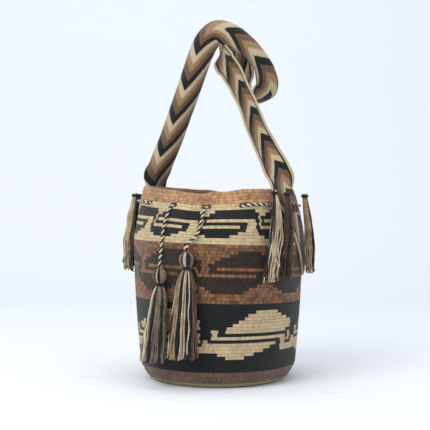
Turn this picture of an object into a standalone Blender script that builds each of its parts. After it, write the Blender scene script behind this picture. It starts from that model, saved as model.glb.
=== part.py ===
"""A crocheted shoulder bag with a woven strap, a drawstring through eyelets, and yarn tassels.

Metres, +Z up. The bag stands on its round base, whose centre is the origin. X runs along the
long axis of the mouth, from one end of the strap to the other, and the front faces -Y.
"""

import math

import bmesh
import bpy
from mathutils import Vector

# The bag's outer skin, by rows of crochet: a flat base, a turned-up edge, the side and the shoulder.
BASE_RADIUS = 0.094
EDGE_BULGE_RADIUS = 0.105
EDGE_RADIUS = 0.1155
EDGE_HEIGHT = 0.0235
EDGE_ROWS = 6
ROW_HEIGHT = 0.00457
SHOULDER_ROW = 44
TOP_ROW = 62
SHOULDER_RADIUS = 0.1265
MOUTH_HALF_WIDTH = 0.120
MOUTH_HALF_DEPTH = 0.088
LEAN = 1.5
WALL = 0.0035
SIDES = 48

# The drawstring and its eyelets, whose places are degrees round the mouth from +X.
CORD_DIAMETER = 0.0045
CORD_CLEARANCE = 0.0017
EYELET_ROW = 57.2
EYELET_WIDTH = 0.0180
EYELET_HEIGHT = 0.0130
EYELETS = (291, 319, 338, 13, 38, 64, 92, 120, 150, 197, 231, 261)
CROSSING = 0.009
CORD_POINTS = 79

# The strap: one woven band, whose tails are sewn to the outside of the bag. Each place on its
# route is x, y, z, the degrees that its face is turned from -Y about the band, and the degrees
# that each half of its width is curled back from its face.
STRAP_WIDTH = 0.044
STRAP_THICKNESS = 0.004
STRAP_STATIONS = 92
STRAP_LANES = 6
TAIL_ROWS = (38, 42, 46, 50, 54, 58, 62)
TAIL_CURL = 10
LEFT_TAIL_ANGLES = (177, 174)
RIGHT_TAIL_ANGLES = (24, -10)
STRAP_ROUTE = (
    (-0.1068, 0.0030, 0.3200, 28, 64),
    (-0.0838, -0.0022, 0.3596, 30, 67),
    (-0.0649, -0.0075, 0.3955, 30, 67),
    (-0.0462, -0.0128, 0.4306, 30, 66),
    (-0.0284, -0.0187, 0.4649, 28, 64),
    (-0.0130, -0.0225, 0.4946, 24, 60),
    (0.0035, -0.0211, 0.5142, 10, 58),
    (0.0213, -0.0131, 0.5138, -8, 60),
    (0.0367, -0.0042, 0.5019, -5, 75),
    (0.0495, 0.0066, 0.4846, 15, 90),
    (0.0588, 0.0178, 0.4675, 10, 90),
    (0.0660, 0.0300, 0.4491, -20, 80),
    (0.0644, 0.0383, 0.4321, -45, 65),
    (0.0509, 0.0398, 0.4187, -75, 45),
    (0.0349, 0.0375, 0.4195, -80, 30),
    (0.0269, 0.0363, 0.4344, -50, 30),
    (0.0216, 0.0332, 0.4589, -15, 40),
    (0.0164, 0.0268, 0.4829, 25, 25),
    (0.0109, 0.0178, 0.4988, 75, 8),
    (0.0048, 0.0085, 0.4934, 50, -10),
    (0.0123, 0.0059, 0.4742, 10, -45),
    (0.0248, 0.0051, 0.4520, -18, -80),
    (0.0387, 0.0016, 0.4266, -25, -95),
    (0.0531, -0.0017, 0.4015, -28, -98),
    (0.0704, -0.0078, 0.3662, -30, -90),
    (0.0886, -0.0112, 0.3346, -32, -75),
    (0.1060, -0.0138, 0.3050, -35, -45),
)
SEAM_THREAD = 0.0016
SEAM_STITCHES = 7

# The drawstring's tassels: the head's centre, where the skirt ends, and half its width there.
TASSELS = {
    "left": ((-0.0165, -0.1345, 0.1580), (-0.0284, -0.1370, 0.0370), 0.0222),
    "right": ((0.0262, -0.1325, 0.1814), (0.0205, -0.1360, 0.0440), 0.0222),
}
TASSEL_HEAD = 0.0105
TASSEL_NECK = 0.0045
TASSEL_DEPTH = 0.0105
BINDING = 0.0013

# The strap's yarn ends, gathered in tassels: degrees round the mouth at the knot and at the
# tip, the heights of both, half the width at the tip, and the colour.
FRINGES = {
    "right_front": (-22, -29, 0.2742, 0.1500, 0.0125, "cream"),
    "right_middle": (-13, -18, 0.2722, 0.1530, 0.0120, "brown"),
    "right_back": (11, 13, 0.2705, 0.1580, 0.0125, "black"),
    "left_front": (196, 199, 0.2735, 0.1590, 0.0125, "cream"),
    "left_middle": (186, 187, 0.2725, 0.1550, 0.0120, "black"),
    "left_back": (163, 162, 0.2715, 0.1560, 0.0125, "brown"),
}
FRINGE_STANDOFF = 0.0082
FRINGE_DEPTH = 0.0065
FRINGE_NECK = 0.0036

GAP = 0.0004

COLOURS = {
    "cream": (0.45, 0.34, 0.20, 1),
    "tan": (0.38, 0.20, 0.10, 1),
    "brown": (0.18, 0.08, 0.04, 1),
    "black": (0.008, 0.009, 0.010, 1),
}


def smoothstep(value):
    value = min(max(value, 0.0), 1.0)
    return value * value * (3 - 2 * value)


def mouth_radius(angle):
    """Distance from the axis to the oval mouth, at an angle in radians."""
    return (
        MOUTH_HALF_WIDTH
        * MOUTH_HALF_DEPTH
        / math.hypot(MOUTH_HALF_DEPTH * math.cos(angle), MOUTH_HALF_WIDTH * math.sin(angle))
    )


def sag(angle):
    """How much higher the shoulder and mouth stand at this angle than where they sag most."""
    return 0.0045 * (1 + math.cos(angle - math.radians(210)))


def rim_wave(angle):
    """The rim's dips between its gathers."""
    dip = math.degrees(angle) % 360 - 281
    return 0.003 * math.cos(2 * angle) + 0.002 * math.sin(angle) - 0.005 * math.exp(-((dip / 13) ** 2))


def skin(angle, row):
    """A point on the outer skin, at an angle in radians and a height in rows of crochet."""
    if row <= EDGE_ROWS:
        part = row / EDGE_ROWS
        radius = (
            BASE_RADIUS * (1 - part) ** 2
            + EDGE_BULGE_RADIUS * 2 * part * (1 - part)
            + EDGE_RADIUS * part**2
        )
        height = EDGE_HEIGHT * part**2
    else:
        height = EDGE_HEIGHT + ROW_HEIGHT * (row - EDGE_ROWS)
        rise = (row - EDGE_ROWS) / (SHOULDER_ROW - EDGE_ROWS)
        radius = SHOULDER_RADIUS - (SHOULDER_RADIUS - EDGE_RADIUS) * max(0.0, 1 - rise) ** 1.7
        height += (sag(angle) - 0.0035) * smoothstep(rise)
    if row > SHOULDER_ROW:
        lean = (row - SHOULDER_ROW) / (TOP_ROW - SHOULDER_ROW)
        radius += (mouth_radius(angle) - SHOULDER_RADIUS) * lean**LEAN
        height += rim_wave(angle) * lean
    return Vector((radius * math.cos(angle), radius * math.sin(angle), height))


def outward(angle, row):
    """The outer skin's normal."""
    step = 0.02
    round_it = skin(angle + step, row) - skin(angle - step, row)
    up_it = skin(angle, row + step) - skin(angle, row - step)
    return round_it.cross(up_it).normalized()


def smooth_curve(points, count):
    """Evenly spaced points on a smooth curve through the given points."""
    points = [Vector(point) for point in points]
    points = [2 * points[0] - points[1], *points, 2 * points[-1] - points[-2]]
    fine = []
    for before, start, end, after in zip(points, points[1:], points[2:], points[3:]):
        for step in range(24):
            part = step / 24
            fine.append(
                0.5
                * (
                    2 * start
                    + (end - before) * part
                    + (2 * before - 5 * start + 4 * end - after) * part**2
                    + (3 * start - before - 3 * end + after) * part**3
                )
            )
    fine.append(points[-2])
    lengths = [0.0]
    for start, end in zip(fine, fine[1:]):
        lengths.append(lengths[-1] + (end - start).length)
    spaced = []
    index = 0
    for step in range(count):
        wanted = lengths[-1] * step / (count - 1)
        while index < len(fine) - 2 and lengths[index + 1] < wanted:
            index += 1
        span = lengths[index + 1] - lengths[index]
        spaced.append(fine[index].lerp(fine[index + 1], (wanted - lengths[index]) / span))
    return spaced


def material(name, colour):
    made = bpy.data.materials.new(name)
    made.use_nodes = True
    shader = made.node_tree.nodes["Principled BSDF"]
    shader.inputs["Base Color"].default_value = COLOURS[colour]
    shader.inputs["Roughness"].default_value = 0.9
    made.diffuse_color = COLOURS[colour]
    return made


def add_mesh(collection, name, mesh, colour=None):
    made = bpy.data.objects.new(name, mesh)
    collection.objects.link(made)
    if colour:
        mesh.materials.append(material(name, colour))
    return made


def loft(name, loops, capped):
    """A mesh through closed loops of points, closed at both ends if capped."""
    shape = bmesh.new()
    rings = [[shape.verts.new(point) for point in loop] for loop in loops]
    for lower, upper in zip(rings, rings[1:]):
        for index, vert in enumerate(lower):
            following = (index + 1) % len(lower)
            shape.faces.new((vert, lower[following], upper[following], upper[index]))
    if capped:
        shape.faces.new(rings[0][::-1])
        shape.faces.new(rings[-1])
    mesh = bpy.data.meshes.new(name)
    shape.to_mesh(mesh)
    shape.free()
    mesh.shade_smooth()
    return mesh


def add_tube(collection, name, points, diameter, colour, closed=False):
    curve = bpy.data.curves.new(name, "CURVE")
    curve.dimensions = "3D"
    curve.bevel_depth = diameter / 2
    curve.bevel_resolution = 2
    curve.use_fill_caps = True
    spline = curve.splines.new("POLY")
    spline.points.add(len(points) - 1)
    for target, point in zip(spline.points, points):
        target.co = (*point, 1)
    spline.use_cyclic_u = closed
    made = bpy.data.objects.new(name, curve)
    curve.materials.append(material(name, colour))
    collection.objects.link(made)
    return made


# ---------------------------------------------------------------- the bag


def eyelet_cutter(collection, angle):
    """An oval peg through the wall, lying along the skin's normal."""
    bpy.ops.mesh.primitive_cylinder_add(vertices=12, radius=0.5, depth=4 * WALL)
    cutter = bpy.context.object
    cutter.name = f"eyelet_cutter_{round(math.degrees(angle))}"
    normal = outward(angle, EYELET_ROW)
    cutter.rotation_euler = normal.to_track_quat("Z", "Y").to_euler()
    cutter.scale = (EYELET_WIDTH, EYELET_HEIGHT, 1)
    cutter.location = skin(angle, EYELET_ROW) - normal * WALL / 2
    for owner in cutter.users_collection:
        owner.objects.unlink(cutter)
    collection.objects.link(cutter)
    cutter.hide_render = True
    cutter.display_type = "WIRE"
    return cutter


def add_bag(collection, cutters):
    """One crocheted skin from the base's centre to the rim, with a hole for each eyelet."""
    rows = (0, 2, 4, EDGE_ROWS, 13, 21, 29, 37, SHOULDER_ROW, 48, 52, 55, 59, TOP_ROW)
    angles = [2 * math.pi * index / SIDES for index in range(SIDES)]
    shape = bmesh.new()
    rings = [[shape.verts.new(skin(angle, row)) for angle in angles] for row in rows]
    for lower, upper in zip(rings, rings[1:]):
        for index in range(SIDES):
            following = (index + 1) % SIDES
            shape.faces.new((lower[index], lower[following], upper[following], upper[index]))
    shape.faces.new(rings[0][::-1])
    mesh = bpy.data.meshes.new("bag_body")
    shape.to_mesh(mesh)
    shape.free()
    mesh.shade_smooth()
    bag = add_mesh(collection, "bag_body", mesh, "tan")
    wall = bag.modifiers.new("wall", "SOLIDIFY")
    wall.thickness = WALL
    wall.offset = -1
    wall.use_even_offset = True
    for degrees in EYELETS:
        hole = bag.modifiers.new(f"eyelet_{degrees}", "BOOLEAN")
        hole.operation = "DIFFERENCE"
        hole.object = eyelet_cutter(cutters, math.radians(degrees))
    return bag


# ---------------------------------------------------------------- the strap


def strap_tail(angles, facing):
    """Places, faces and curls of a sewn end, from its tip up to the rim.

    The band makes half a turn on its way, so its face looks inwards (-1) at one end and
    outwards (1) at the other.
    """
    places = []
    for index, row in enumerate(TAIL_ROWS):
        share = index / (len(TAIL_ROWS) - 1)
        angle = math.radians(angles[0] + (angles[1] - angles[0]) * share)
        normal = outward(angle, min(row, TOP_ROW - 1))
        place = skin(angle, row) + normal * (3 * GAP + STRAP_THICKNESS / 2)
        places.append((place, normal * facing, TAIL_CURL * facing))
    return places


def route_places():
    """Places, faces and curls of the free strap."""
    points = [Vector(place[:3]) for place in STRAP_ROUTE]
    places = []
    for index, place in enumerate(STRAP_ROUTE):
        along = points[min(index + 1, len(points) - 1)] - points[max(index - 1, 0)]
        along.normalize()
        front = Vector((0, -1, 0))
        front = (front - along * front.dot(along)).normalized()
        turn = math.radians(place[3])
        places.append((points[index], front * math.cos(turn) + along.cross(front) * math.sin(turn), place[4]))
    return places


def strap_sections():
    """Evenly spaced sections: a centre, the band's face, its side direction and its curl."""
    left = strap_tail(LEFT_TAIL_ANGLES, -1)
    right = strap_tail(RIGHT_TAIL_ANGLES, 1)[::-1]
    places = [*left, *route_places(), *right]
    steps = [0.0]
    for start, end in zip(places, places[1:]):
        steps.append(steps[-1] + (end[0] - start[0]).length)
    centres = smooth_curve([place[0] for place in places], STRAP_STATIONS)
    sections = []
    index = 0
    for station, centre in enumerate(centres):
        wanted = steps[-1] * station / (STRAP_STATIONS - 1)
        while index < len(places) - 2 and steps[index + 1] < wanted:
            index += 1
        part = smoothstep((wanted - steps[index]) / (steps[index + 1] - steps[index]))
        along = centres[min(station + 1, STRAP_STATIONS - 1)] - centres[max(station - 1, 0)]
        along.normalize()
        face = places[index][1].lerp(places[index + 1][1], part)
        face = (face - along * face.dot(along)).normalized()
        curl = places[index][2] + (places[index + 1][2] - places[index][2]) * part
        sections.append((centre, face, along.cross(face), curl))
    return sections


def strap_lane(section, across):
    """A point of the band's middle surface, from -1 at one edge to 1 at the other."""
    centre, face, side, curl = section
    half = STRAP_WIDTH / 2
    angle = math.radians(curl) * across
    if abs(curl) < 1:
        return centre + side * half * across
    radius = half / math.radians(curl)
    return centre + side * radius * math.sin(angle) - face * radius * (1 - math.cos(angle))


def add_strap(collection):
    lanes = [2 * lane / STRAP_LANES - 1 for lane in range(STRAP_LANES + 1)]
    shape = bmesh.new()
    grid = [[shape.verts.new(strap_lane(section, lane)) for lane in lanes] for section in strap_sections()]
    for lower, upper in zip(grid, grid[1:]):
        for index in range(STRAP_LANES):
            shape.faces.new((lower[index], lower[index + 1], upper[index + 1], upper[index]))
    mesh = bpy.data.meshes.new("strap")
    shape.to_mesh(mesh)
    shape.free()
    mesh.shade_smooth()
    strap = add_mesh(collection, "strap", mesh, "tan")
    band = strap.modifiers.new("band", "SOLIDIFY")
    band.thickness = STRAP_THICKNESS
    band.offset = 0
    return strap


def add_seam(collection, name, angles):
    """The thread that zigzags over a sewn tail, just below the rim."""
    points = []
    for index in range(SEAM_STITCHES):
        row = 57.6 if index % 2 else 54.9
        middle = angles[0] + (angles[1] - angles[0]) * (row - TAIL_ROWS[0]) / (TAIL_ROWS[-1] - TAIL_ROWS[0])
        angle = math.radians(middle - 6 + 12 * index / (SEAM_STITCHES - 1))
        normal = outward(angle, row)
        points.append(skin(angle, row) + normal * (4 * GAP + STRAP_THICKNESS + SEAM_THREAD / 2))
    add_tube(collection, name, points, SEAM_THREAD, "black")


# ---------------------------------------------------------------- the drawstring


def beside_skin(degrees, row, outside):
    """The cord's centre where it lies on the skin, outside or inside the bag."""
    angle = math.radians(degrees)
    away = CORD_DIAMETER / 2 + CORD_CLEARANCE
    return skin(angle, row) + outward(angle, row) * (away if outside else -WALL - away)


def through_wall(degrees):
    angle = math.radians(degrees)
    return skin(angle, EYELET_ROW) - outward(angle, EYELET_ROW) * WALL / 2


def turn_after(degrees, towards):
    """Degrees a crossing's length further round, towards another eyelet."""
    radius = mouth_radius(math.radians(degrees))
    ahead = (towards - degrees + 180) % 360 - 180
    return degrees + math.copysign(math.degrees(CROSSING / radius), ahead)


def hanging_end(degrees, tassel):
    """From a tassel's head up over the shoulder to its eyelet."""
    head = Vector(TASSELS[tassel][0])
    head_angle = math.degrees(math.atan2(head.y, head.x)) % 360
    top = head + Vector((0, 0, TASSEL_HEAD + GAP))
    points = [top, top + Vector((0, 0, 0.010))]
    for row in (43, 47.8, 52, 55.5):
        share = (EYELET_ROW - row) / (EYELET_ROW - 36.4)
        place = beside_skin(degrees + (head_angle - degrees) * share, row, True)
        if place.z > top.z + 0.018:
            points.append(place)
    return points


def drawstring_route():
    """From the left tassel, in and out through the eyelets all round, to the right tassel."""
    order = EYELETS[::-1]
    points = hanging_end(order[0], "left")
    outside = True
    for index, degrees in enumerate(order):
        if index > 0:
            points.append(beside_skin(turn_after(degrees, order[index - 1]), EYELET_ROW, outside))
        points.append(through_wall(degrees))
        outside = not outside
        if index < len(order) - 1:
            following = order[index + 1]
            points.append(beside_skin(turn_after(degrees, following), EYELET_ROW, outside))
            middle = degrees + ((following - degrees + 180) % 360 - 180) / 2
            points.append(beside_skin(middle, EYELET_ROW, outside))
    return [*points, *hanging_end(order[-1], "right")[::-1]]


def oval(centre, half_width, half_depth, angle, sides=12):
    """A level oval, wide along the bag's skin and deep away from it, at an angle in radians."""
    away = Vector((math.cos(angle), math.sin(angle), 0))
    along = Vector((-math.sin(angle), math.cos(angle), 0))
    turns = [2 * math.pi * index / sides for index in range(sides)]
    return [centre + along * half_width * math.cos(turn) + away * half_depth * math.sin(turn) for turn in turns]


def add_binding(collection, name, centre, neck):
    """The thread wound round a tassel's neck."""
    bpy.ops.mesh.primitive_torus_add(
        major_radius=neck + GAP + BINDING,
        minor_radius=BINDING,
        major_segments=16,
        minor_segments=6,
        location=centre,
    )
    binding = bpy.context.object
    binding.name = name
    for owner in binding.users_collection:
        owner.objects.unlink(binding)
    collection.objects.link(binding)
    binding.data.materials.append(material(name, "black"))
    binding.data.shade_smooth()


def add_tassel(collection, side):
    """A yarn ball and the skirt below its binding: one bundle of yarns."""
    head, tip, half_width = TASSELS[side]
    head = Vector(head)
    tip = Vector(tip)
    angle = math.atan2(head.y, head.x)
    neck_drop = TASSEL_HEAD + 0.0015
    neck = head - Vector((0, 0, neck_drop))
    loops = []
    for rise, share in ((1.0, 0.28), (0.86, 0.62), (0.45, 0.95), (0.0, 1.0), (-0.45, 0.86), (-0.8, 0.58)):
        size = TASSEL_HEAD * share
        loops.append(oval(head + Vector((0, 0, TASSEL_HEAD * rise)), size, size * 0.88, angle))
    for drop in (0, 0.0042):
        loops.append(oval(neck + Vector((0, 0, 0.0021 - drop)), TASSEL_NECK, TASSEL_NECK, angle))
    for part, width, depth in ((0.06, 0.42, 0.62), (0.15, 0.60, 0.80), (0.4, 0.76, 0.95), (0.7, 0.9, 1), (1, 1, 1)):
        centre = neck.lerp(tip, part)
        loops.append(oval(centre, half_width * width, TASSEL_DEPTH * depth, angle))
    mesh = loft(f"{side}_tassel_yarn", loops, True)
    add_mesh(collection, f"{side}_tassel_yarn", mesh, "cream")
    add_binding(collection, f"{side}_tassel_binding", neck, TASSEL_NECK)


def fringe_centre(degrees, height, half_depth):
    """Where a hanging bundle's middle is at a height: it follows the shoulder out, then hangs."""
    angle = math.radians(degrees)
    row = EDGE_ROWS + (height - EDGE_HEIGHT) / ROW_HEIGHT
    lean = min(max((row - SHOULDER_ROW) / (TOP_ROW - SHOULDER_ROW), 0), 1)
    radius = SHOULDER_RADIUS + (mouth_radius(angle) - SHOULDER_RADIUS) * lean**LEAN
    radius += FRINGE_STANDOFF + half_depth
    return Vector((radius * math.cos(angle), radius * math.sin(angle), height))


def add_fringe(collection, name, fringe):
    """A tassel of loose yarn ends below a knot at the strap's edge."""
    knot_angle, tip_angle, knot_height, tip_height, half_width, colour = fringe
    loops = []
    for part, width, depth in (
        (-0.045, 0.0020, 0.0020),
        (-0.030, 0.0042, 0.0040),
        (-0.018, FRINGE_NECK, FRINGE_NECK),
        (0.018, FRINGE_NECK, FRINGE_NECK),
        (0.08, 0.0065, 0.0050),
        (0.30, 0.0092, 0.0060),
        (0.65, half_width * 0.9, FRINGE_DEPTH),
        (1.0, half_width, FRINGE_DEPTH),
    ):
        height = knot_height + (tip_height - knot_height) * part
        degrees = knot_angle + (tip_angle - knot_angle) * smoothstep(part)
        centre = fringe_centre(degrees, height, FRINGE_DEPTH)
        loops.append(oval(centre, width, depth, math.radians(degrees), 10))
    mesh = loft(f"{name}_fringe", loops, True)
    add_mesh(collection, f"{name}_fringe", mesh, colour)
    knot = fringe_centre(knot_angle, knot_height, FRINGE_DEPTH)
    add_binding(collection, f"{name}_fringe_binding", knot, FRINGE_NECK)


def main():
    for old in list(bpy.data.objects):
        bpy.data.objects.remove(old)
    parts = bpy.data.collections.new("wayuu_mochila_bag")
    cutters = bpy.data.collections.new("cutters")
    for made in (parts, cutters):
        bpy.context.scene.collection.children.link(made)
    add_bag(parts, cutters)
    add_strap(parts)
    add_seam(parts, "left_seam_thread", LEFT_TAIL_ANGLES)
    add_seam(parts, "right_seam_thread", RIGHT_TAIL_ANGLES)
    add_tube(parts, "drawstring", smooth_curve(drawstring_route(), CORD_POINTS), CORD_DIAMETER, "black")
    for side in TASSELS:
        add_tassel(parts, side)
    for name, fringe in FRINGES.items():
        add_fringe(parts, name, fringe)


main()
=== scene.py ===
"""The looks of a crocheted shoulder bag, in Blender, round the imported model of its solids.

Metres, +Z up. The bag stands on its round base, whose centre is the origin. X runs along the long
axis of the mouth and the front faces -Y. Angles round the bag are degrees from +X, unless a
function says radians, and heights on its skin are counted in rows of crochet.
"""

import math

import bpy
import numpy as np
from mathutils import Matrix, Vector


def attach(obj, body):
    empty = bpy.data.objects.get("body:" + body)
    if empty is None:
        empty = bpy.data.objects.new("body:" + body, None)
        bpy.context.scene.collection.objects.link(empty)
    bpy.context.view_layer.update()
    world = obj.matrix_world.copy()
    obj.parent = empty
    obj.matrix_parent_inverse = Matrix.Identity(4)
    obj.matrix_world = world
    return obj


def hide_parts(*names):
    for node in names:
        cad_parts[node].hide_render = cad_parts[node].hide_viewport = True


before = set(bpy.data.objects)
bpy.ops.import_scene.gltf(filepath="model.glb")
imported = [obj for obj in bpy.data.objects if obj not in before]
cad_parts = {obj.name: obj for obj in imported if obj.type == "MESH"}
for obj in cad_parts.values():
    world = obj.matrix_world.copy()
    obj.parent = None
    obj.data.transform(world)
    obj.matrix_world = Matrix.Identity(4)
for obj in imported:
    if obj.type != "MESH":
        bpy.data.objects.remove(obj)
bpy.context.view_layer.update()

# ---------------------------------------------------------------- the bag's own sizes, as in the part

BASE_RADIUS = 0.094
EDGE_BULGE_RADIUS = 0.105
EDGE_RADIUS = 0.1155
EDGE_HEIGHT = 0.0235
EDGE_ROWS = 6
ROW_HEIGHT = 0.00457
SHOULDER_ROW = 44
TOP_ROW = 62
SHOULDER_RADIUS = 0.1265
MOUTH_HALF_WIDTH = 0.120
MOUTH_HALF_DEPTH = 0.088
LEAN = 1.5
WALL = 0.0035

CORD_DIAMETER = 0.0045
CORD_CLEARANCE = 0.0017
EYELET_ROW = 57.2
EYELETS = (291, 319, 338, 13, 38, 64, 92, 120, 150, 197, 231, 261)
CROSSING = 0.009

STRAP_WIDTH = 0.044
STRAP_THICKNESS = 0.004
TAIL_ROWS = (38, 42, 46, 50, 54, 58, 62)
TAIL_CURL = 10
LEFT_TAIL_ANGLES = (177, 174)
RIGHT_TAIL_ANGLES = (24, -10)
STRAP_ROUTE = (
    (-0.1068, 0.0030, 0.3200, 28, 64),
    (-0.0838, -0.0022, 0.3596, 30, 67),
    (-0.0649, -0.0075, 0.3955, 30, 67),
    (-0.0462, -0.0128, 0.4306, 30, 66),
    (-0.0284, -0.0187, 0.4649, 28, 64),
    (-0.0130, -0.0225, 0.4946, 24, 60),
    (0.0035, -0.0211, 0.5142, 10, 58),
    (0.0213, -0.0131, 0.5138, -8, 60),
    (0.0367, -0.0042, 0.5019, -5, 75),
    (0.0495, 0.0066, 0.4846, 15, 90),
    (0.0588, 0.0178, 0.4675, 10, 90),
    (0.0660, 0.0300, 0.4491, -20, 80),
    (0.0644, 0.0383, 0.4321, -45, 65),
    (0.0509, 0.0398, 0.4187, -75, 45),
    (0.0349, 0.0375, 0.4195, -80, 30),
    (0.0269, 0.0363, 0.4344, -50, 30),
    (0.0216, 0.0332, 0.4589, -15, 40),
    (0.0164, 0.0268, 0.4829, 25, 25),
    (0.0109, 0.0178, 0.4988, 75, 8),
    (0.0048, 0.0085, 0.4934, 50, -10),
    (0.0123, 0.0059, 0.4742, 10, -45),
    (0.0248, 0.0051, 0.4520, -18, -80),
    (0.0387, 0.0016, 0.4266, -25, -95),
    (0.0531, -0.0017, 0.4015, -28, -98),
    (0.0704, -0.0078, 0.3662, -30, -90),
    (0.0886, -0.0112, 0.3346, -32, -75),
    (0.1060, -0.0138, 0.3050, -35, -45),
)
SEAM_THREAD = 0.0016
SEAM_STITCHES = 7

TASSELS = {
    "left": ((-0.0165, -0.1345, 0.1580), (-0.0284, -0.1370, 0.0370), 0.0222),
    "right": ((0.0262, -0.1325, 0.1814), (0.0205, -0.1360, 0.0440), 0.0222),
}
TASSEL_HEAD = 0.0105
TASSEL_NECK = 0.0045
TASSEL_DEPTH = 0.0105
BINDING = 0.0013

FRINGES = {
    "right_front": (-22, -29, 0.2742, 0.1500, 0.0125),
    "right_middle": (-13, -18, 0.2722, 0.1530, 0.0120),
    "right_back": (11, 13, 0.2705, 0.1580, 0.0125),
    "left_front": (196, 199, 0.2735, 0.1590, 0.0125),
    "left_middle": (186, 187, 0.2725, 0.1550, 0.0120),
    "left_back": (163, 162, 0.2715, 0.1560, 0.0125),
}
FRINGE_STANDOFF = 0.0082
FRINGE_DEPTH = 0.0065
FRINGE_NECK = 0.0036

GAP = 0.0004

# ---------------------------------------------------------------- the view

VIEW_AZIMUTH = 30
CAMERA_DISTANCE = 1.4
CAMERA_HEIGHT = 0.243
CAMERA_SIDESTEP = -0.0045
LENS_MM = 77.5

# ---------------------------------------------------------------- the yarns' colours, in sRGB

CREAM = (196, 174, 137)
TAN = (172, 130, 94)
BROWN = (124, 86, 60)
UMBER = (48, 36, 29)
BLACK = (17, 20, 22)
BASE_BROWN = (106, 80, 66)
GREY_BEIGE = (140, 122, 100)
WINE = (84, 56, 48)

# ---------------------------------------------------------------- the stitches

STITCHES = 225
COLUMNS = 2 * STITCHES
PATTERN_START = 300
ROW_RELIEF = 0.0010
STITCH_RELIEF = 0.00055
GATHER = 0.0022
EYELET_HALF_WIDTH = 0.0070
EYELET_HALF_HEIGHT = 0.0040
LINED_ROW = 54

# Rows of crochet from the base's edge to the rim, in order: how many, and the ground colour.
BASE_RINGS = (3, 3)
LOWER_BAND = (6, 27)
MIDDLE_BAND = (27, 45)
TOP_BAND = (45, 58)

# The stepped figures, by rows down from the top of their band: (start, end) spans, where a span
# past the repeat's end runs on into the next repeat.
LOWER_REPEAT = 72.0
LOWER_UNIT = 1.6
LOWER_FIGURE = {
    2: ((16, 27),),
    3: ((13, 30),),
    4: ((11, 33),),
    5: ((9, 37),),
    6: ((6, 37),),
    7: ((3, 37),),
    8: ((3, 33), (42.4, 45)),
    9: ((35, 37), (42.4, 45)),
    10: ((42.4, 78), (35, 37)),
    11: ((30, 33), (35, 37), (38.5, 41)),
    12: ((38.5, 71.6), (30, 33)),
    13: ((30, 68.2),),
    14: ((30, 64.6),),
    15: ((44.7, 60.1),),
    16: ((2.7, 10.9),),
}
MIDDLE_REPEAT = 360 / 7
MIDDLE_FIGURE = {
    2: ((13.2, 29),),
    3: ((7.4, 34),),
    4: ((1.7, 37.5),),
    5: ((-2, 41),),
    6: ((-5.9, 41),),
    7: ((-5.9, -0.8), (38, 41)),
    8: ((-5.9, 29.9), (38, 41), (-17, -14)),
    9: ((24.8, 29.9), (-17, -14)),
    10: ((-17, 29.8),),
    11: ((-17, 29.8),),
    12: ((-13, 26.1),),
    13: ((-9, 20.5),),
    14: ((-4.6, 16.1),),
}
TOP_REPEAT = 40.0
TOP_START = -14.1
TOP_FIGURE = {
    2: ((11, 41.2),),
    3: ((8.1, 43.2),),
    4: ((4.5, 42.5),),
    5: ((4, 6.7), (40, 42.5)),
    6: ((4, 33.8), (40, 42.5)),
    7: ((27.9, 33.4), (40, 42.5)),
    8: ((0, 31.8),),
    9: ((1, 26.2),),
    10: ((5, 21.3),),
}


# ---------------------------------------------------------------- shapes, as in the part


def smoothstep(value):
    value = np.clip(value, 0.0, 1.0)
    return value * value * (3 - 2 * value)


def unit(vector):
    return vector / np.linalg.norm(vector, axis=-1, keepdims=True)


def mouth_radius(angle):
    """Distance from the axis to the oval mouth, at an angle in radians."""
    return (
        MOUTH_HALF_WIDTH
        * MOUTH_HALF_DEPTH
        / np.hypot(MOUTH_HALF_DEPTH * np.cos(angle), MOUTH_HALF_WIDTH * np.sin(angle))
    )


def skin(angle, row):
    """Points on the bag's outer skin, at angles in radians and heights in rows of crochet."""
    angle, row = np.broadcast_arrays(np.asarray(angle, float), np.asarray(row, float))
    edge = np.clip(row / EDGE_ROWS, 0, 1)
    rise = np.clip((row - EDGE_ROWS) / (SHOULDER_ROW - EDGE_ROWS), 0, 1)
    lean = np.clip((row - SHOULDER_ROW) / (TOP_ROW - SHOULDER_ROW), 0, None)
    turned_up = (
        BASE_RADIUS * (1 - edge) ** 2
        + EDGE_BULGE_RADIUS * 2 * edge * (1 - edge)
        + EDGE_RADIUS * edge**2
    )
    side = SHOULDER_RADIUS - (SHOULDER_RADIUS - EDGE_RADIUS) * (1 - rise) ** 1.7
    radius = np.where(row <= EDGE_ROWS, turned_up, side)
    radius = radius + (mouth_radius(angle) - SHOULDER_RADIUS) * lean**LEAN
    sag = 0.0045 * (1 + np.cos(angle - math.radians(210)))
    dip = np.degrees(angle) % 360 - 281
    wave = 0.003 * np.cos(2 * angle) + 0.002 * np.sin(angle) - 0.005 * np.exp(-((dip / 13) ** 2))
    height = (
        EDGE_HEIGHT * edge**2
        + ROW_HEIGHT * np.maximum(row - EDGE_ROWS, 0)
        + (sag - 0.0035) * smoothstep(rise)
        + wave * lean
    )
    return np.stack([radius * np.cos(angle), radius * np.sin(angle), height], axis=-1)


def outward(angle, row):
    """The outer skin's normals."""
    step = 0.02
    round_it = skin(np.add(angle, step), row) - skin(np.subtract(angle, step), row)
    up_it = skin(angle, np.add(row, step)) - skin(angle, np.subtract(row, step))
    return unit(np.cross(round_it, up_it))


def evenly(points, count):
    """The same line as a number of evenly spaced points."""
    steps = np.linalg.norm(np.diff(points, axis=0), axis=1)
    lengths = np.concatenate([[0], np.cumsum(steps)])
    wanted = np.linspace(0, lengths[-1], count)
    return np.column_stack([np.interp(wanted, lengths, points[:, axis]) for axis in range(3)])


def length_of(points):
    return float(np.linalg.norm(np.diff(points, axis=0), axis=1).sum())


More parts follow.
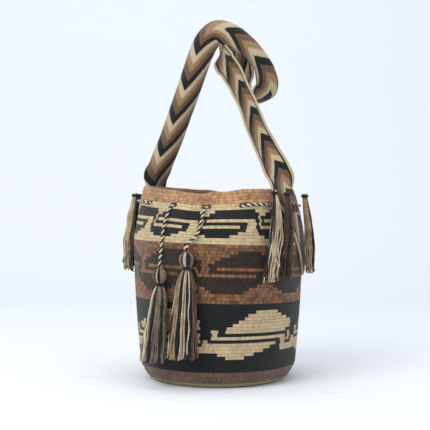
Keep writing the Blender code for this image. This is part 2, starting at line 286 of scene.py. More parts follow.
def smooth_curve(points, count):
    """Evenly spaced points on a smooth curve through the given points."""
    points = np.asarray(points, float)
    points = np.vstack([2 * points[0] - points[1], points, 2 * points[-1] - points[-2]])
    part = np.arange(24)[:, None] / 24
    fine = [
        0.5
        * (
            2 * start
            + (end - before) * part
            + (2 * before - 5 * start + 4 * end - after) * part**2
            + (3 * start - before - 3 * end + after) * part**3
        )
        for before, start, end, after in zip(points, points[1:], points[2:], points[3:])
    ]
    return evenly(np.vstack([*fine, points[-2:-1]]), count)


def strap_tail(angles, facing):
    """Places, faces and curls of a sewn end of the strap, from its tip up to the rim."""
    places = []
    for index, row in enumerate(TAIL_ROWS):
        share = index / (len(TAIL_ROWS) - 1)
        angle = math.radians(angles[0] + (angles[1] - angles[0]) * share)
        normal = outward(angle, min(row, TOP_ROW - 1))
        place = skin(angle, row) + normal * (3 * GAP + STRAP_THICKNESS / 2)
        places.append((place, normal * facing, TAIL_CURL * facing))
    return places


def route_places():
    """Places, faces and curls of the free strap."""
    points = [np.array(place[:3]) for place in STRAP_ROUTE]
    places = []
    for index, place in enumerate(STRAP_ROUTE):
        along = unit(points[min(index + 1, len(points) - 1)] - points[max(index - 1, 0)])
        front = np.array([0.0, -1.0, 0.0])
        front = unit(front - along * front.dot(along))
        turn = math.radians(place[3])
        face = front * math.cos(turn) + np.cross(along, front) * math.sin(turn)
        places.append((points[index], face, place[4]))
    return places


def strap_sections(stations):
    """Evenly spaced sections of the strap: centres, faces, side directions and curls in degrees."""
    places = [
        *strap_tail(LEFT_TAIL_ANGLES, -1),
        *route_places(),
        *strap_tail(RIGHT_TAIL_ANGLES, 1)[::-1],
    ]
    chord = np.array([place[0] for place in places])
    steps = np.concatenate([[0], np.cumsum(np.linalg.norm(np.diff(chord, axis=0), axis=1))])
    centres = smooth_curve(chord, stations)
    along = unit(np.gradient(centres, axis=0))
    faces, curls = [], []
    for station in range(stations):
        wanted = steps[-1] * station / (stations - 1)
        index = min(int(np.searchsorted(steps, wanted, side="right")) - 1, len(places) - 2)
        part = smoothstep((wanted - steps[index]) / (steps[index + 1] - steps[index]))
        faces.append(places[index][1] * (1 - part) + places[index + 1][1] * part)
        curls.append(places[index][2] * (1 - part) + places[index + 1][2] * part)
    faces = np.array(faces)
    faces = unit(faces - along * (faces * along).sum(axis=1, keepdims=True))
    return centres, faces, np.cross(along, faces), np.array(curls)


def beside_skin(degrees, row, outside):
    """The cord's centre where it lies on the skin, outside or inside the bag."""
    angle = math.radians(degrees)
    away = CORD_DIAMETER / 2 + CORD_CLEARANCE
    return skin(angle, row) + outward(angle, row) * (away if outside else -WALL - away)


def through_wall(degrees):
    angle = math.radians(degrees)
    return skin(angle, EYELET_ROW) - outward(angle, EYELET_ROW) * WALL / 2


def turn_after(degrees, towards):
    """Degrees a crossing's length further round, towards another eyelet."""
    radius = float(mouth_radius(math.radians(degrees)))
    ahead = (towards - degrees + 180) % 360 - 180
    return degrees + math.copysign(math.degrees(CROSSING / radius), ahead)


def hanging_end(degrees, tassel):
    """From a tassel's head up over the shoulder to its eyelet."""
    head = np.array(TASSELS[tassel][0])
    head_angle = math.degrees(math.atan2(head[1], head[0])) % 360
    top = head + np.array([0, 0, TASSEL_HEAD + GAP])
    points = [top, top + np.array([0, 0, 0.010])]
    for row in (43, 47.8, 52, 55.5):
        share = (EYELET_ROW - row) / (EYELET_ROW - 36.4)
        place = beside_skin(degrees + (head_angle - degrees) * share, row, True)
        if place[2] > top[2] + 0.018:
            points.append(place)
    return points


def drawstring_route():
    """From the left tassel, in and out through the eyelets all round, to the right tassel."""
    order = EYELETS[::-1]
    points = hanging_end(order[0], "left")
    outside = True
    for index, degrees in enumerate(order):
        if index > 0:
            points.append(beside_skin(turn_after(degrees, order[index - 1]), EYELET_ROW, outside))
        points.append(through_wall(degrees))
        outside = not outside
        if index < len(order) - 1:
            following = order[index + 1]
            points.append(beside_skin(turn_after(degrees, following), EYELET_ROW, outside))
            middle = degrees + ((following - degrees + 180) % 360 - 180) / 2
            points.append(beside_skin(middle, EYELET_ROW, outside))
    return [*points, *hanging_end(order[-1], "right")[::-1]]


def fringe_centre(degrees, height, half_depth):
    """Where a hanging bundle's middle is at a height: it follows the shoulder out, then hangs."""
    angle = math.radians(degrees)
    row = EDGE_ROWS + (height - EDGE_HEIGHT) / ROW_HEIGHT
    lean = min(max((row - SHOULDER_ROW) / (TOP_ROW - SHOULDER_ROW), 0), 1)
    radius = SHOULDER_RADIUS + (float(mouth_radius(angle)) - SHOULDER_RADIUS) * lean**LEAN
    radius += FRINGE_STANDOFF + half_depth
    return np.array([radius * math.cos(angle), radius * math.sin(angle), height])


# ---------------------------------------------------------------- materials


def linear(colour):
    """An sRGB colour of 0 to 255 as linear RGBA."""
    values = [value / 255 for value in colour]
    values = [v / 12.92 if v <= 0.04045 else ((v + 0.055) / 1.055) ** 2.4 for v in values]
    return (*values, 1.0)


def shaded(colour, factor):
    return tuple(min(255, value * factor) for value in colour)


class Nodes:
    """A small helper that adds and links shader nodes."""

    def __init__(self, name):
        self.material = bpy.data.materials.new(name)
        self.material.use_nodes = True
        self.tree = self.material.node_tree
        self.shader = self.tree.nodes["Principled BSDF"]

    def add(self, kind, **inputs):
        node = self.tree.nodes.new(kind)
        for name, value in inputs.items():
            self.put(node, name.replace("_", " "), value)
        return node

    def put(self, node, name, value):
        socket = node.inputs[int(name) if name.isdigit() else name]
        if isinstance(value, bpy.types.NodeSocket):
            self.tree.links.new(value, socket)
        else:
            socket.default_value = value

    def math(self, operation, first, second=0.0):
        node = self.tree.nodes.new("ShaderNodeMath")
        node.operation = operation
        self.put(node, "0", first)
        self.put(node, "1", second)
        return node.outputs[0]

    def mix(self, share, first, second):
        """A colour between two."""
        node = self.tree.nodes.new("ShaderNodeMix")
        node.data_type = "RGBA"
        self.put(node, "0", share)
        self.put(node, "6", first)
        self.put(node, "7", second)
        return node.outputs[2]

    def ramp(self, value, stops, interpolation="LINEAR"):
        node = self.tree.nodes.new("ShaderNodeValToRGB")
        self.put(node, "0", value)
        node.color_ramp.interpolation = interpolation
        elements = node.color_ramp.elements
        while len(elements) < len(stops):
            elements.new(1.0)
        for element, (place, colour) in zip(elements, stops):
            element.position = place
            element.color = colour
        return node.outputs[0]

    def noise(self, vector, scale, detail=2.0):
        node = self.tree.nodes.new("ShaderNodeTexNoise")
        self.put(node, "Vector", vector)
        self.put(node, "Scale", scale)
        self.put(node, "Detail", detail)
        return node.outputs[0]

    def uv(self):
        """The yarn's own coordinates, across and along."""
        node = self.tree.nodes.new("ShaderNodeUVMap")
        node.uv_map = "Yarn"
        split = self.tree.nodes.new("ShaderNodeSeparateXYZ")
        self.put(split, "0", node.outputs[0])
        return split.outputs[0], split.outputs[1]

    def place(self):
        return self.add("ShaderNodeTexCoord").outputs["Object"]

    def finish(self, colour, height, bump_distance, roughness=0.88, sheen=0.25, strength=0.8):
        self.put(self.shader, "Base Color", colour)
        self.put(self.shader, "Roughness", roughness)
        self.put(self.shader, "Specular IOR Level", 0.25)
        self.put(self.shader, "Sheen Weight", sheen)
        self.put(self.shader, "Sheen Roughness", 0.5)
        bump = self.add("ShaderNodeBump", Height=height, Distance=bump_distance, Strength=strength)
        self.put(self.shader, "Normal", bump.outputs[0])
        return self.material


def crochet_material(name, colour, streak):
    """Cotton stitches. Its coordinates count stitches round the bag and rows up it."""
    nodes = Nodes(name)
    around, up = nodes.uv()
    row = nodes.math("FLOOR", up)
    stagger = nodes.math("MULTIPLY", nodes.math("MODULO", row, 2.0), 0.5)
    stitch = nodes.math("FLOOR", nodes.math("ADD", around, stagger))
    cell = nodes.add("ShaderNodeCombineXYZ", X=stitch, Y=row)
    per_stitch = nodes.add("ShaderNodeTexWhiteNoise", Vector=cell.outputs[0]).outputs[0]
    drawn_out = nodes.add("ShaderNodeCombineXYZ", X=nodes.math("MULTIPLY", around, 0.09), Y=nodes.math("MULTIPLY", row, 7.3))
    per_row = nodes.noise(drawn_out.outputs[0], 1.0, 1.0)
    fibres = nodes.noise(nodes.place(), 1400.0, 3.0)
    light = nodes.math("ADD", nodes.math("MULTIPLY", per_row, 0.62), nodes.math("MULTIPLY", per_stitch, 0.38))
    body = nodes.ramp(
        light,
        (
            (0.22, linear(shaded(colour, 1 - streak))),
            (0.5, linear(colour)),
            (0.8, linear(shaded(colour, 1 + streak))),
        ),
    )
    within_row = nodes.math("FRACT", up)
    rib = nodes.math("SINE", nodes.math("MULTIPLY", within_row, math.pi))
    # Painted shade: each row's colour darkens to 0.62 at its edges, in the grooves between rows, and is full at its
    # crest.
    groove = nodes.ramp(rib, ((0.0, (0.62, 0.60, 0.58, 1)), (0.55, (1, 1, 1, 1))))
    fleck = nodes.ramp(fibres, ((0.3, (0.86, 0.86, 0.86, 1)), (0.7, (1.08, 1.08, 1.08, 1))))
    # The stitch colour times the painted groove shade and the fibres' random fleck.
    groove_shaded_and_flecked = multiply(nodes, multiply(nodes, body, groove), fleck)
    within_stitch = nodes.math("FRACT", nodes.math("ADD", around, stagger))
    puff = nodes.math("SINE", nodes.math("MULTIPLY", within_stitch, math.pi))
    slant = nodes.math("ADD", nodes.math("MULTIPLY", within_stitch, 2.2), nodes.math("MULTIPLY", within_row, 2.6))
    plies = nodes.math("SINE", nodes.math("MULTIPLY", slant, 2 * math.pi))
    height = nodes.math("ADD", nodes.math("MULTIPLY", puff, 0.5), nodes.math("MULTIPLY", plies, 0.18))
    height = nodes.math("ADD", height, nodes.math("MULTIPLY", fibres, 0.35))
    return nodes.finish(groove_shaded_and_flecked, height, 0.0008)


def multiply(nodes, first, second):
    node = nodes.tree.nodes.new("ShaderNodeMix")
    node.data_type = "RGBA"
    node.blend_type = "MULTIPLY"
    nodes.put(node, "0", 1.0)
    nodes.put(node, "6", first)
    nodes.put(node, "7", second)
    return node.outputs[2]


def yarn_material(name, colour, streak=0.16, ply=0.0032):
    """Plied yarn. Its coordinates are turns round the yarn and metres along it."""
    nodes = Nodes(name)
    around, along = nodes.uv()
    fibres = nodes.noise(nodes.place(), 1600.0, 3.0)
    patches = nodes.noise(nodes.place(), 90.0, 1.0)
    twist = nodes.math("ADD", nodes.math("DIVIDE", along, ply), around)
    plies = nodes.math("SINE", nodes.math("MULTIPLY", twist, 2 * math.pi))
    light = nodes.math("ADD", nodes.math("MULTIPLY", patches, 0.7), nodes.math("MULTIPLY", fibres, 0.3))
    body = nodes.ramp(
        light,
        (
            (0.3, linear(shaded(colour, 1 - streak))),
            (0.5, linear(colour)),
            (0.72, linear(shaded(colour, 1 + streak))),
        ),
    )
    # Painted shade: the yarn's colour darkens to about 0.72 in the creases between its twisted plies.
    ply_crease_shade = nodes.ramp(plies, ((0.0, (0.74, 0.72, 0.70, 1)), (0.6, (1, 1, 1, 1))))
    height = nodes.math("ADD", nodes.math("MULTIPLY", plies, 0.5), nodes.math("MULTIPLY", fibres, 0.5))
    return nodes.finish(multiply(nodes, body, ply_crease_shade), height, 0.0005)


def strap_material(name):
    """Braided chevrons. Its coordinates are -1 to 1 across, and repeats of the chevron along."""
    nodes = Nodes(name)
    across, along = nodes.uv()
    from_point = nodes.math("SUBTRACT", across, CHEVRON_POINT)
    left_arm = nodes.math("MULTIPLY", nodes.math("MAXIMUM", nodes.math("MULTIPLY", from_point, -1.0), 0.0), LEFT_ARM)
    right_arm = nodes.math("MULTIPLY", nodes.math("MAXIMUM", from_point, 0.0), RIGHT_ARM)
    phase = nodes.math("SUBTRACT", nodes.math("SUBTRACT", along, left_arm), right_arm)
    ragged = nodes.noise(nodes.place(), 420.0, 1.0)
    phase_ragged = nodes.math("ADD", phase, nodes.math("MULTIPLY", nodes.math("SUBTRACT", ragged, 0.5), 0.06))
    bands = nodes.ramp(
        nodes.math("FRACT", nodes.math("ADD", phase_ragged, 10.0)),
        (
            (0.00, linear(BLACK)),
            (0.25, linear(BLACK)),
            (0.28, linear(STRAP_BROWN)),
            (0.47, linear(STRAP_BROWN)),
            (0.55, linear(STRAP_TAN)),
            (0.70, linear(STRAP_TAN)),
            (0.80, linear(STRAP_CREAM)),
            (0.975, linear(STRAP_CREAM)),
            (1.0, linear(BLACK)),
        ),
    )
    side = nodes.math("ABSOLUTE", across)
    late = nodes.math("GREATER_THAN", along, EDGE_LINES_FROM)
    cream_edge = nodes.math("MULTIPLY", nodes.math("GREATER_THAN", side, 0.84), late)
    black_edge = nodes.math("MULTIPLY", nodes.math("GREATER_THAN", side, 0.72), late)
    edged = nodes.mix(black_edge, bands, linear(BLACK))
    edged = nodes.mix(cream_edge, edged, linear(STRAP_CREAM))
    fibres = nodes.noise(nodes.place(), 1500.0, 3.0)
    fleck = nodes.ramp(fibres, ((0.3, (0.82, 0.82, 0.82, 1)), (0.7, (1.1, 1.1, 1.1, 1))))
    lines = nodes.math("SINE", nodes.math("MULTIPLY", phase, 2 * math.pi * 15))
    height = nodes.math("ADD", nodes.math("MULTIPLY", lines, 0.35), nodes.math("MULTIPLY", fibres, 0.5))
    return nodes.finish(multiply(nodes, edged, fleck), height, 0.0007)


# ---------------------------------------------------------------- meshes


def make_object(name, points, faces, materials, indices=None, uvs=None, smooth=True):
    """A mesh object. faces is a list of arrays of equal-sided faces, and uvs matches its corners."""
    mesh = bpy.data.meshes.new(name)
    every = [list(map(int, face)) for group in faces for face in group]
    mesh.from_pydata(np.asarray(points).tolist(), [], every)
    for made in materials:
        mesh.materials.append(made)
    if indices is not None:
        mesh.polygons.foreach_set("material_index", np.asarray(indices, np.int32))
    if uvs is not None:
        layer = mesh.uv_layers.new(name="Yarn")
        layer.data.foreach_set("uv", np.asarray(uvs, np.float32).ravel())
    if smooth:
        mesh.shade_smooth()
    mesh.update()
    made = bpy.data.objects.new(name, mesh)
    bpy.context.scene.collection.objects.link(made)
    return made


def transport(points):
    """Two directions across a line at each of its points, carried along it without twisting."""
    along = unit(np.gradient(points, axis=0))
    across = np.cross(along[0], [0.0, 0.0, 1.0])
    if np.linalg.norm(across) < 0.2:
        across = np.cross(along[0], [0.0, 1.0, 0.0])
    first = np.empty_like(points)
    for index, direction in enumerate(along):
        across = across - direction * across.dot(direction)
        across = across / np.linalg.norm(across)
        first[index] = across
    return first, np.cross(along, first)


def tubes(name, strands, sides, materials):
    """One mesh of round yarns. A strand is its points, its radius at each and its material's number."""
    all_points, all_faces, all_ends, indices, end_indices, uvs = [], [], [], [], [], []
    base = 0
    turns = 2 * np.pi * np.arange(sides) / sides
    for points, radii, colour in strands:
        count = len(points)
        first, second = transport(points)
        ring = first[:, None] * np.cos(turns)[None, :, None] + second[:, None] * np.sin(turns)[None, :, None]
        all_points.append((points[:, None] + ring * np.asarray(radii)[:, None, None]).reshape(-1, 3))
        corner = base + np.arange(count - 1)[:, None] * sides + np.arange(sides)[None]
        beside = base + np.arange(count - 1)[:, None] * sides + (np.arange(sides)[None] + 1) % sides
        all_faces.append(np.stack([corner, beside, beside + sides, corner + sides], axis=-1).reshape(-1, 4))
        indices.extend([colour] * ((count - 1) * sides))
        lengths = np.concatenate([[0], np.cumsum(np.linalg.norm(np.diff(points, axis=0), axis=1))])
        low, high = np.meshgrid(lengths[:-1], np.arange(sides) / sides, indexing="ij")
        top = np.meshgrid(lengths[1:], np.arange(sides) / sides, indexing="ij")[0]
        share = high + 1 / sides
        quad = np.stack([high, low, share, low, share, top, high, top], axis=-1)
        uvs.append(quad.reshape(-1, 2))
        all_ends.append(base + np.arange(sides)[::-1])
        all_ends.append(base + (count - 1) * sides + np.arange(sides))
        end_indices.extend([colour, colour])
        base += count * sides
    caps = np.zeros((len(all_ends) * sides, 2))
    return make_object(
        name,
        np.vstack(all_points),
        [np.vstack(all_faces), all_ends],
        materials,
        indices + end_indices,
        np.vstack([*uvs, caps]),
    )


def declare(piece, slot, *nodes):
    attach(piece, "root")
    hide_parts(*nodes)
    return piece


# ---------------------------------------------------------------- the bag


def in_spans(value, spans, repeat):
    return any((value - start) % repeat < end - start for start, end in spans)


def stitch_colour(row, degrees):
    """Which yarn a stitch is made of, by its row and its degrees round from the pattern's start."""
    if row < BASE_RINGS[0]:
        return "base_cream"
    if row < LOWER_BAND[0]:
        return "base_brown"
    if row < LOWER_BAND[1]:
        spans = LOWER_FIGURE.get(LOWER_BAND[1] - 1 - row, ())
        unit_round = (degrees % LOWER_REPEAT) / LOWER_UNIT
        return "cream" if in_spans(unit_round, spans, LOWER_REPEAT / LOWER_UNIT) else "black"
    if row < MIDDLE_BAND[1]:
        spans = MIDDLE_FIGURE.get(MIDDLE_BAND[1] - 1 - row, ())
        return "umber" if in_spans(degrees, spans, MIDDLE_REPEAT) else "brown"
    if row < TOP_BAND[1]:
        spans = TOP_FIGURE.get(TOP_BAND[1] - 1 - row, ())
        return "black" if in_spans(degrees - TOP_START, spans, TOP_REPEAT) else "cream"
    return "tan"


def gather(angle, row):
    """How far the drawstring pushes the skin out or in, at angles in radians."""
    degrees = np.degrees(angle) % 360
    order = sorted(EYELETS)
    push = np.zeros_like(degrees)
    for index, start in enumerate(order):
        end = order[(index + 1) % len(order)]
        span = (end - start) % 360
        part = ((degrees - start) % 360) / span
        inside = 1 if index % 2 == INSIDE_STRETCH else -1
        push += np.where(part < 1, inside * np.sin(np.pi * np.clip(part, 0, 1)), 0)
    reach = np.exp(-(((row - EYELET_ROW) / 3.2) ** 2)) + 0.55 * smoothstep((row - EYELET_ROW) / 4)
    return GATHER * push * reach


def rim_folds(angle, row):
    """The soft rolls of the rim's loose rows."""
    rise = smoothstep((row - TOP_BAND[1]) / (TOP_ROW - TOP_BAND[1]))
    return rise * (0.0012 * np.sin(9 * angle + 0.7) + 0.0009 * np.sin(17 * angle + 2.1 + 0.8 * row))


def bag_ring(row, half_rows, columns, inner):
    """One ring of points: the skin with its stitches' relief, or the same ring inside the wall."""
    step = COLUMNS // columns
    column = np.arange(columns) * step
    angle = np.radians(PATTERN_START + column * 360 / COLUMNS)
    points = skin(angle, row)
    normal = outward(angle, min(row, TOP_ROW - 0.02))
    groove = half_rows % 2 == 0
    raised = -0.6 * ROW_RELIEF if groove else 0.4 * ROW_RELIEF
    push = gather(angle, row) + rim_folds(angle, row)
    if inner:
        push = push - WALL - 0.4 * raised
    else:
        edge = (column + int(row)) % 2 == 0
        push = push + raised + (0 if groove else 1) * np.where(edge, -0.6, 0.4) * STITCH_RELIEF
    points = points + normal * np.broadcast_to(push, angle.shape)[:, None]
    points[:, 2] = np.maximum(points[:, 2], WALL if inner else 0.0)
    return points


def add_bag():
    colours = ("cream", "tan", "brown", "umber", "black", "base_brown", "base_cream")
    materials = [
        crochet_material("crochet_cream", CREAM, 0.10),
        crochet_material("crochet_tan", TAN, 0.22),
        crochet_material("crochet_brown", BROWN, 0.32),
        crochet_material("crochet_umber", UMBER, 0.25),
        crochet_material("crochet_black", BLACK, 0.25),
        crochet_material("crochet_base_brown", BASE_BROWN, 0.18),
        crochet_material("crochet_base_cream", shaded(CREAM, 0.82), 0.12),
    ]
    top = 2 * TOP_ROW
    holes = {}
    for degrees in EYELETS:
        middle = ((degrees - PATTERN_START) % 360) * COLUMNS / 360
        reach = float(mouth_radius(math.radians(degrees))) * 2 * math.pi / COLUMNS
        for half in range(2 * LINED_ROW + 1, top):
            for column in range(int(middle) - 8, int(middle) + 9):
                across = (column + 0.5 - middle) * reach / EYELET_HALF_WIDTH
                up = ((half + 0.5) / 2 - EYELET_ROW) * ROW_HEIGHT / EYELET_HALF_HEIGHT
                if across**2 + up**2 < 1:
                    holes[half, column % COLUMNS] = True

    points, faces, indices, uvs = [], [], [], []
    starts = {}
    total = 0

    def add_ring(key, ring):
        nonlocal total
        starts[key] = total
        points.append(ring)
        total += len(ring)

    def add_face(corners, colour, corner_uvs):
        faces.append(corners)
        indices.append(colours.index(colour))
        uvs.extend(corner_uvs)

    for half in range(top + 1):
        add_ring(("out", half), bag_ring(half / 2, half, COLUMNS, False))
    for half in range(2 * LINED_ROW, top + 1):
        add_ring(("in", half), bag_ring(half / 2, half, COLUMNS, True))

    def sheet(side, low, high):
        for half in range(low, high):
            row = half // 2
            lower, upper = starts[side, half], starts[side, half + 1]
            for column in range(COLUMNS):
                if (half, column) in holes:
                    continue
                following = (column + 1) % COLUMNS
                stagger = row % 2
                stitch = (column + stagger) // 2
                degrees = (2 * stitch + 1 - stagger) * 180 / STITCHES
                corners = [lower + column, lower + following, upper + following, upper + column]
                left, right = column / 2, (column + 1) / 2
                low_v, high_v = half / 2 + 0.001, (half + 1) / 2 - 0.001
                corner_uvs = [(left, low_v), (right, low_v), (right, high_v), (left, high_v)]
                if side == "in":
                    corners.reverse()
                    corner_uvs.reverse()
                add_face(corners, stitch_colour(row, degrees), corner_uvs)

    sheet("out", 0, top)
    sheet("in", 2 * LINED_ROW, top)

    # The rim's rounded lip.
    lip = (points[top] + points[-1]) / 2 + np.array([0, 0, 0.0013])
    add_ring("lip", lip)
    for column in range(COLUMNS):
        following = (column + 1) % COLUMNS
        outer, middle, inner = starts["out", top], starts["lip"], starts["in", top]
        for low, high, row in ((outer, middle, TOP_ROW), (middle, inner, TOP_ROW + 0.5)):
            corner_uvs = [(column / 2, row), (column / 2 + 0.5, row), (column / 2 + 0.5, row + 0.5), (column / 2, row + 0.5)]
            add_face([low + column, low + following, high + following, high + column], "tan", corner_uvs)

    # The eyelets' sides.
    for half, column in holes:
        following = (column + 1) % COLUMNS
        row_colour = stitch_colour(half // 2, column * 360 / COLUMNS)
        for beside, ends in (
            ((half - 1, column), ((half, column), (half, following))),
            ((half + 1, column), ((half + 1, following), (half + 1, column))),
            ((half, (column - 1) % COLUMNS), ((half + 1, column), (half, column))),
            ((half, following), ((half, following), (half + 1, following))),
        ):
            if beside in holes:
                continue
            (h1, c1), (h2, c2) = ends
            corners = [starts["out", h1] + c1, starts["out", h2] + c2, starts["in", h2] + c2, starts["in", h1] + c1]
            add_face(corners, row_colour, [(c1 / 2, h1 / 2), (c2 / 2, h2 / 2), (c2 / 2, h2 / 2), (c1 / 2, h1 / 2)])

    # The lining below the eyelets, and the round base inside and out, at half the columns.
    def rings(key, made, first, flip, row_of):
        """Coarser rings below a fine one, down to a closed middle."""
        lower = first
        fine = True
        for number, ring in enumerate(made):
            add_ring((key, number), ring)
            upper = starts[key, number]
            for column in range(STITCHES):
                following = (column + 1) % STITCHES
                colour, v = row_of(number, column)
                span = [(column, v), (column + 1, v), (column + 1, v + 0.999), (column, v + 0.999)]
                if fine:
                    middle = lower + 2 * column + 1
                    a, b = lower + 2 * column, lower + (2 * column + 2) % COLUMNS
                    corners = [upper + column, upper + following, b, middle, a]
                    span = [span[0], span[1], span[2], (column + 0.5, v + 0.999), span[3]]
                else:
                    corners = [upper + column, upper + following, lower + following, lower + column]
                if flip:
                    corners.reverse()
                    span.reverse()
                add_face(corners, colour, span)
            lower, fine = upper, False
        last = [lower + column for column in range(STITCHES)]
        if not flip:
            last.reverse()
        add_face(last if flip else last, colour, [(0.5, 0.5)] * STITCHES)

    lining = [bag_ring(row, 2 * row + 1, STITCHES, True) for row in range(LINED_ROW - 3, 0, -3)]
    angle = np.radians(PATTERN_START + np.arange(STITCHES) * 360 / STITCHES)
    for share in np.linspace(0.88, 0.06, 12):
        radius = BASE_RADIUS * share
        lining.append(np.column_stack([radius * np.cos(angle), radius * np.sin(angle), np.full(STITCHES, WALL)]))

    def lining_row(number, column):
        row = max(LINED_ROW - 3 - 3 * number, 0)
        return stitch_colour(row, column * 360 / STITCHES), float(row)

    rings("lining", lining, starts["in", 2 * LINED_ROW], True, lining_row)

    count = int(BASE_RADIUS / ROW_HEIGHT)
    base = []
    for number in range(2 * count - 2):
        radius = BASE_RADIUS - (number + 1) * ROW_HEIGHT / 2
        lift = ROW_RELIEF if number % 2 else 0.0
        base.append(np.column_stack([radius * np.cos(angle), radius * np.sin(angle), np.full(STITCHES, lift)]))

    def base_row(number, column):
        row = -1 - number // 2
        return ("base_cream" if number < 2 * count - 14 else "base_brown"), float(row) + 20

    rings("base", base, starts["out", 0], False, base_row)

    bag = make_object("bag", np.vstack(points), [faces], materials, indices, np.array(uvs))
    return declare(bag, "bag_crochet", "bag_body")


# ---------------------------------------------------------------- the strap

STRAP_CREAM = (190, 172, 142)
STRAP_TAN = (150, 118, 88)
STRAP_BROWN = (104, 78, 60)
CHEVRON_LENGTH = 0.057
CHEVRON_LENGTH_LATE = 0.047
CHEVRON_START = 0.10
CHEVRON_POINT = -0.19
LEFT_ARM = 0.45
RIGHT_ARM = 1.0
STRAP_STATIONS = 620
STRAP_LANES = 36
STRAP_CORDS = 12
STRAP_RELIEF = 0.0006
STRAP_TURN = 0.53
EDGE_LINES_FROM = 8.6


def add_strap():
    """The braided band: lengthwise cords side by side, and a rounded edge on each side."""
    centres, faces, sides, curls = strap_sections(STRAP_STATIONS)
    length = length_of(centres)
    along = np.linspace(0, length, STRAP_STATIONS)
    turn = STRAP_TURN * length
    repeats = CHEVRON_START + np.where(
        along < turn,
        along / CHEVRON_LENGTH,
        turn / CHEVRON_LENGTH + (along - turn) / CHEVRON_LENGTH_LATE,
    )
    lanes = np.linspace(-1, 1, STRAP_LANES + 1)
    half = STRAP_WIDTH / 2
    curl = np.radians(np.where(np.abs(curls) < 1, 1.0, curls))[:, None]
    radius = half / curl
    angle = curl * lanes[None]
    middle = (
        centres[:, None]
        + sides[:, None] * (radius * np.sin(angle))[..., None]
        - faces[:, None] * (radius * (1 - np.cos(angle)))[..., None]
    )
    normal = sides[:, None] * np.sin(angle)[..., None] + faces[:, None] * np.cos(angle)[..., None]
    cords = np.abs(np.sin(np.pi * STRAP_CORDS * (lanes + 1) / 2))[None]
    beads = 0.5 + 0.5 * np.sin(2 * np.pi * (along[:, None] / 0.0052 + 0.5 * np.floor(STRAP_CORDS * (lanes + 1) / 2)[None]))
    thin = np.sqrt(np.clip(1 - np.abs(lanes) ** 14, 0, 1))[None]
    thick = (STRAP_THICKNESS / 2 - STRAP_RELIEF) * thin + STRAP_RELIEF * (0.75 * cords + 0.25 * beads) * thin
    front = (middle + normal * thick[..., None]).reshape(-1, 3)
    back = (middle - normal * thick[..., None]).reshape(-1, 3)
    wide = STRAP_LANES + 1
    corner = np.arange(STRAP_STATIONS - 1)[:, None] * wide + np.arange(STRAP_LANES)[None]
    front_faces = np.stack([corner, corner + 1, corner + wide + 1, corner + wide], -1).reshape(-1, 4)
    # The two faces share their points along the band's edges.
    offset = len(front)
    back_index = offset + np.arange(len(back))
    at_edge = np.arange(len(back)) % wide
    back_index = np.where((at_edge == 0) | (at_edge == STRAP_LANES), np.arange(len(back)), back_index)
    back_faces = back_index[front_faces[:, ::-1]]
    u = np.broadcast_to(lanes[None], (STRAP_STATIONS, wide)).ravel()
    v = np.broadcast_to(repeats[:, None], (STRAP_STATIONS, wide)).ravel()
    pairs = np.column_stack([u, v])
    ends = []
    for station in (0, STRAP_STATIONS - 1):
        row = np.arange(STRAP_LANES) + station * wide
        quad = np.column_stack([row, back_index[row], back_index[row + 1], row + 1])
        ends.extend(quad if station == 0 else quad[:, ::-1])
    ends = [list(dict.fromkeys(map(int, quad))) for quad in ends]
    uvs = np.vstack([pairs[front_faces].reshape(-1, 2), pairs[front_faces[:, ::-1]].reshape(-1, 2)])
    end_uvs = np.vstack([pairs[np.array(end) % offset] for end in ends])
    points = np.vstack([front, back])
    used = np.unique(np.concatenate([front_faces.ravel(), back_faces.ravel()]))
    renumber = np.full(len(points), -1)
    renumber[used] = np.arange(len(used))
    strap = make_object(
        "strap_band",
        points[used],
        [renumber[front_faces], renumber[back_faces], [renumber[end] for end in ends]],
        [strap_material("braided_strap")],
        uvs=np.vstack([uvs, end_uvs]),
    )
    declare(strap, "strap_weave", "strap")
    return length


def add_seam(name, node, angles):
    """The thread that zigzags over a sewn tail, just below the rim."""
    points = []
    for index in range(SEAM_STITCHES):
        row = 57.6 if index % 2 else 54.9
        share = (row - TAIL_ROWS[0]) / (TAIL_ROWS[-1] - TAIL_ROWS[0])
        middle = angles[0] + (angles[1] - angles[0]) * share
        angle = math.radians(middle - 6 + 12 * index / (SEAM_STITCHES - 1))
        normal = outward(angle, row)
        points.append(skin(angle, row) + normal * (4 * GAP + STRAP_THICKNESS + SEAM_THREAD / 2))
    line = evenly(np.array(points), 90)
    seam = tubes(name, twisted(line, SEAM_THREAD, 0.004, (0, 0)), 6, [YARNS["black"]])
    return declare(seam, "seam_thread", node)


# ---------------------------------------------------------------- cords and yarns


def twisted(line, diameter, pitch, colours, bulge=None):
    """Two strands twisted round a line."""
    first, second = transport(line)
    lengths = np.concatenate([[0], np.cumsum(np.linalg.norm(np.diff(line, axis=0), axis=1))])
    turn = 2 * np.pi * lengths / pitch
    strand = diameter * 0.28
    offset = np.full(len(line), diameter / 2 - strand)
    if bulge is not None:
        offset = offset + bulge(lengths[-1] - lengths)
    strands = []
    for number, colour in enumerate(colours):
        around = turn + number * np.pi
        away = first * np.cos(around)[:, None] + second * np.sin(around)[:, None]
        strands.append((line + away * offset[:, None], np.full(len(line), strand), colour))
    return strands


CORD_PITCH = 0.0088
CORD_LOOP = 0.0021
CORD_LOOP_AT = 0.0085


def add_drawstring():
    line = smooth_curve(drawstring_route(), 1150)

    def loop(from_end):
        return CORD_LOOP * np.exp(-(((from_end - CORD_LOOP_AT) / 0.0045) ** 2))

    strands = twisted(line, CORD_DIAMETER, CORD_PITCH, (0, 1), loop)
    cord = tubes("drawstring_cord", strands, 7, [YARNS["black"], YARNS["white"]])
    return declare(cord, "drawstring_cord", "drawstring"), line


